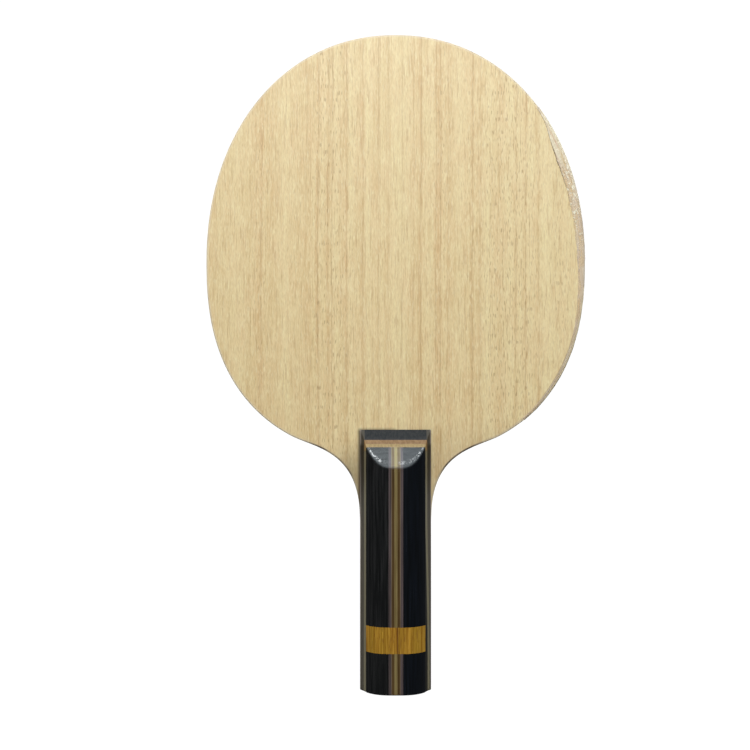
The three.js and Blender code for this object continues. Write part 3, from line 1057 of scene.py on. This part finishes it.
def add_studio():
    """A white floor and surround, seen by the camera all round and by varnish only at the back.

    A darker floor under the white one lights the object from below, and the camera doesn't see it.
    """
    floor = floor_sheet("floor", 0, white_paper("floor_paper", FLOOR_GLOW, 0.12))
    floor.visible_glossy = False
    floor.visible_diffuse = False
    bounce = floor_sheet("floor_bounce", -1 * MM, white_paper("bounce_paper", 0.1, 0.2))
    bounce.visible_glossy = False
    bounce.visible_camera = False
    paper = white_paper("backdrop_paper", BACKDROP_GLOW, 0.1)
    backdrop("back_screen", -BACK_SCREEN, BACK_SCREEN, paper)
    front = backdrop("front_screen", BACK_SCREEN, 2 * math.pi - BACK_SCREEN, paper)
    front.visible_glossy = False
    front.visible_diffuse = False


def add_area(name, place, side, radiance):
    """A square soft light. Its power follows from its size and its brightness."""
    data = bpy.data.lights.new(name, "AREA")
    data.shape = "SQUARE"
    data.size = side
    data.energy = radiance * math.pi * side**2
    light = bpy.data.objects.new(name, data)
    light.location = place
    aim = Vector(LIGHT_TARGET) - Vector(place)
    light.rotation_euler = aim.to_track_quat("-Z", "Y").to_euler()
    bpy.context.scene.collection.objects.link(light)


def add_lights():
    add_area("key", KEY_PLACE, KEY_SIDE, KEY_RADIANCE)
    add_area("front", FRONT_PLACE, FRONT_SIDE, FRONT_RADIANCE)
    x, y, z = REAR_PLACE
    for side in (-1, 1):
        add_area(f"rear_{side}", (x * side, y, z), REAR_SIDE, REAR_RADIANCE)
    world = bpy.data.worlds.new("studio")
    world.use_nodes = True
    world.node_tree.nodes["Background"].inputs["Color"].default_value = WORLD
    bpy.context.scene.world = world
    bpy.context.scene.view_settings.view_transform = "Standard"


# ---------------------------------------------------------------------------------------------
# Build
# ---------------------------------------------------------------------------------------------


def build_blade():
    core = plain_wood("kiri", screen(222, 198, 156), screen(196, 166, 120), shift=1.0)
    limba = plain_wood("limba", screen(206, 172, 122), screen(176, 138, 92), shift=6.0)
    ply_piece("core_ply", "kiri", core, False)
    cloth, face = fibre_cloth(), koto_face()
    for side in ("front", "back"):
        ply_piece(f"{side}_inner_ply", "limba", limba, False)
        ply_piece(f"{side}_fibre_layer", "fibre_cloth", cloth, False)
        ply_piece(f"{side}_outer_ply", "koto", face, True)


def layer_looks():
    """The dark base and the two veneers, whose sanded sides carry painted sheen and shade tones."""
    veneer_sides = ((VENEER_SIDE, screen(132, 126, 102)),)
    base_sides = (
        *veneer_sides,
        # painted sheen on the dark base's side, brightest at its foot
        (BASE_SIDE, screen(88, 83, 73)),
        (BASE_FOOT, screen(160, 152, 144)),
    )
    return {
        "base": varnished("dark_base", screen(50, 50, 50), screen(26, 28, 30), 1.0, 0.42, 0.2,
                          flanks=base_sides, top_darkening=0.75),
        "tan": varnished("tan_veneer", screen(162, 130, 90), screen(134, 102, 66), 2.0, 0.4, 0.25,
                         flanks=veneer_sides),
        "cream": varnished("cream_veneer", screen(184, 160, 112), screen(156, 132, 86), 3.0,
                           0.4, 0.25, flanks=veneer_sides),
    }


def body_looks():
    """The black blocks, the strips between them and the gold band; each strip's bevel color is
    painted lighter, where the bevel faces the light.
    """
    return {
        "black_left": varnished("black_wood_left", screen(34, 34, 34), screen(6, 6, 6), 4.0),
        "black_right": varnished("black_wood_right", screen(8, 13, 22), screen(0, 1, 3), 5.0),
        "mauve_strip": varnished("mauve_strip", screen(94, 82, 82), screen(68, 58, 56), 6.0,
                                 cut=screen(92, 84, 88)),
        "light_line": varnished("light_line", screen(124, 108, 88), screen(98, 82, 66), 7.0,
                                cut=screen(136, 122, 92)),
        "brown_strip": varnished("brown_strip", screen(92, 71, 38), screen(68, 50, 24), 8.0,
                                 cut=screen(116, 94, 42)),
        "cream_strip": varnished("cream_strip", screen(140, 124, 80), screen(112, 96, 58), 9.0,
                                 cut=screen(170, 156, 98)),
        "gold": gold_wood(),
    }


add_camera()
add_studio()
add_lights()
build_blade()
looks = {**layer_looks(), **body_looks()}
handle_scale("front", looks)
handle_scale("back", looks)
rim_film(clear_film())

bpy.context.view_layer.update()
